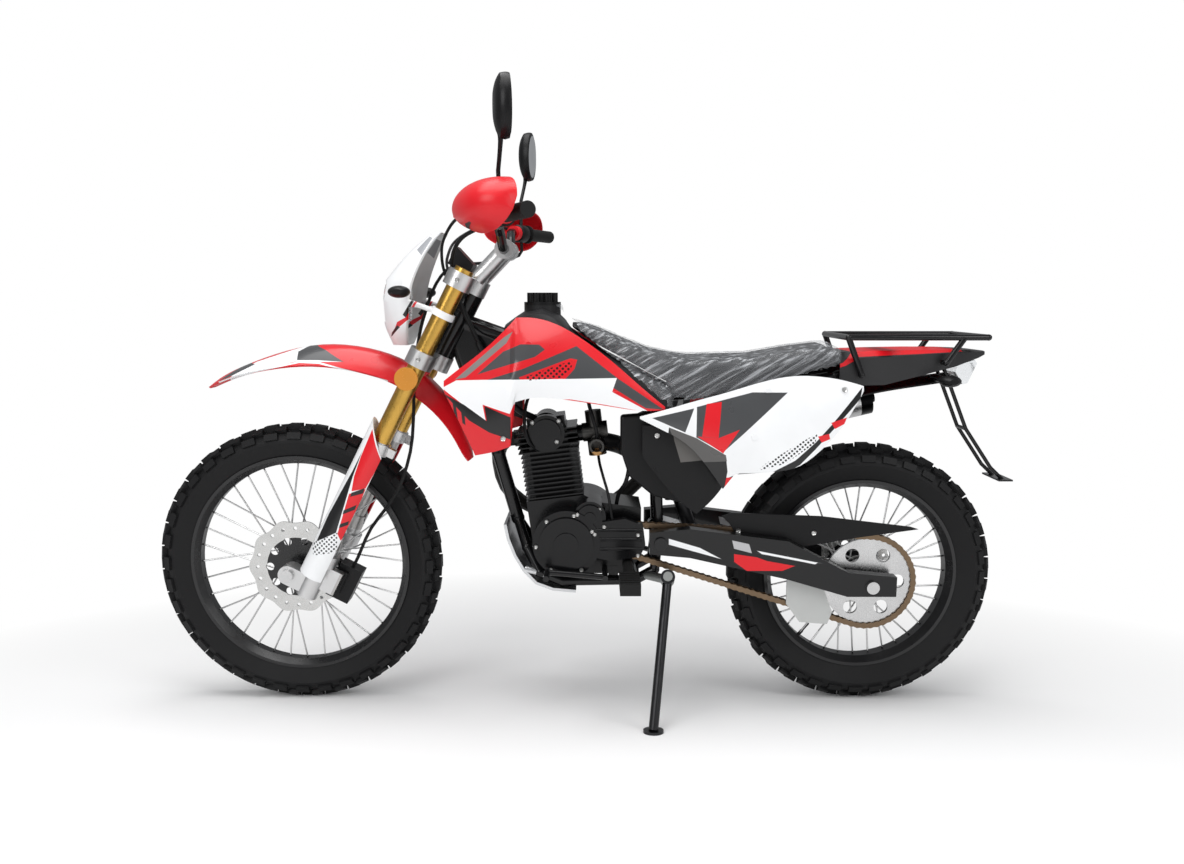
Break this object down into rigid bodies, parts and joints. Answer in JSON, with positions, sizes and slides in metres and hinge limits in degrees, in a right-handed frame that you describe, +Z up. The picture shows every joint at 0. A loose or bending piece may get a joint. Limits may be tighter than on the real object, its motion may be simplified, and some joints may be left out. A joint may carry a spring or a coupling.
{
  "type": "trail motorcycle",
  "caption": "Single-cylinder trail motorcycle with knobby tyres on wire wheels, upside-down fork, luggage rack and side stand, parked leaning on the stand.",
  "frame": {"origin": "on the ground under the middle of the parked motorcycle's box", "axes": "+X to the rear, +Y to the rider's right, +Z up"},
  "size_m": [2.0965, 0.8823, 1.4825],
  "materials": {
    "frame_paint": "satin black",
    "engine_paint": "satin black cast",
    "carburettor": "cast",
    "exhaust_black": "matt heat paint",
    "muffler": "brushed",
    "spring": "gloss red",
    "dark_plastic": "moulded black",
    "red_plastic": "gloss red",
    "white_plastic": "gloss white",
    "seat_cover": "black vinyl",
    "clear_lens": "clear",
    "reflector": "amber",
    "plate_alloy": "brushed",
    "gold": "anodised gold",
    "rubber": "black",
    "lever": "black",
    "steel": "plated",
    "stand_steel": "dark satin",
    "caliper": "black",
    "chain": "oiled bronze",
    "tyre": "black rubber",
    "rim": "black"
  },
  "bodies": {
    "chassis": {"frame": "frame_paint", "swingarm": "frame_paint", "rear_shock": "spring", "engine_crankcase": "engine_paint", "engine_cylinder": "engine_paint", "carburettor": "carburettor", "exhaust_pipe": "exhaust_black", "muffler": "muffler", "fuel_tank": "dark_plastic", "fuel_cap": "dark_plastic", "shroud_left": "red_plastic", "shroud_right": "red_plastic", "seat": "seat_cover", "side_panel_left": "white_plastic", "side_panel_right": "white_plastic", "airbox_cover": "dark_plastic", "tail_fairing": "dark_plastic", "rear_fender": "dark_plastic", "luggage_rack": "frame_paint", "tail_lamp": "clear_lens", "rear_indicators": "dark_plastic", "plate_bracket": "frame_paint", "skid_plate": "plate_alloy", "foot_pegs": "rubber", "gear_lever": "frame_paint", "brake_pedal": "frame_paint", "stand_bracket": "steel", "rear_axle": "steel", "rear_brake_caliper": "caliper", "drive_chain": "chain", "chain_guard": "frame_paint", "chain_guide": "plate_alloy"},
    "steering": {"upper_clamp": "plate_alloy", "lower_clamp": "plate_alloy", "fork_tubes": "gold", "fork_legs": "plate_alloy", "front_axle": "steel", "fork_guards": "white_plastic", "front_fender": "red_plastic", "handlebar": "frame_paint", "grips": "rubber", "hand_levers": "lever", "hand_guards": "red_plastic", "mirrors": "dark_plastic", "headlamp_mask": "white_plastic", "headlamp": "clear_lens", "front_indicators": "dark_plastic", "reflectors": "reflector", "instrument": "dark_plastic", "front_brake_caliper": "caliper", "front_brake_hose": "rubber"},
    "front_wheel": {"front_tyre": "tyre", "front_wheel": "rim", "front_disc": "steel"},
    "rear_wheel": {"rear_tyre": "tyre", "rear_wheel": "rim", "rear_sprocket": "steel", "rear_disc": "steel"},
    "side_stand": {"side_stand": "stand_steel"}
  },
  "joints": [
    {"name": "steering", "type": "hinge", "parent": "chassis", "child": "steering", "pos_m": [-0.30191, 0.0352, 0.92479], "axis": [0.4587, -0.1298, 0.8791], "range_deg": [-42, 42]},
    {"name": "front_wheel_spin", "type": "hinge", "parent": "steering", "child": "front_wheel", "pos_m": [-0.6985, 0.12037, 0.348], "axis": [0, 0.9893, 0.1461], "continuous": true},
    {"name": "rear_wheel_spin", "type": "hinge", "parent": "chassis", "child": "rear_wheel", "pos_m": [0.6925, 0.12388, 0.32426], "axis": [0, 0.9893, 0.1461], "continuous": true},
    {"name": "side_stand", "type": "hinge", "parent": "chassis", "child": "side_stand", "pos_m": [0.206, -0.03087, 0.33173], "axis": [-0.0579, -0.9574, 0.2828], "range_deg": [0, 83]}
  ]
}
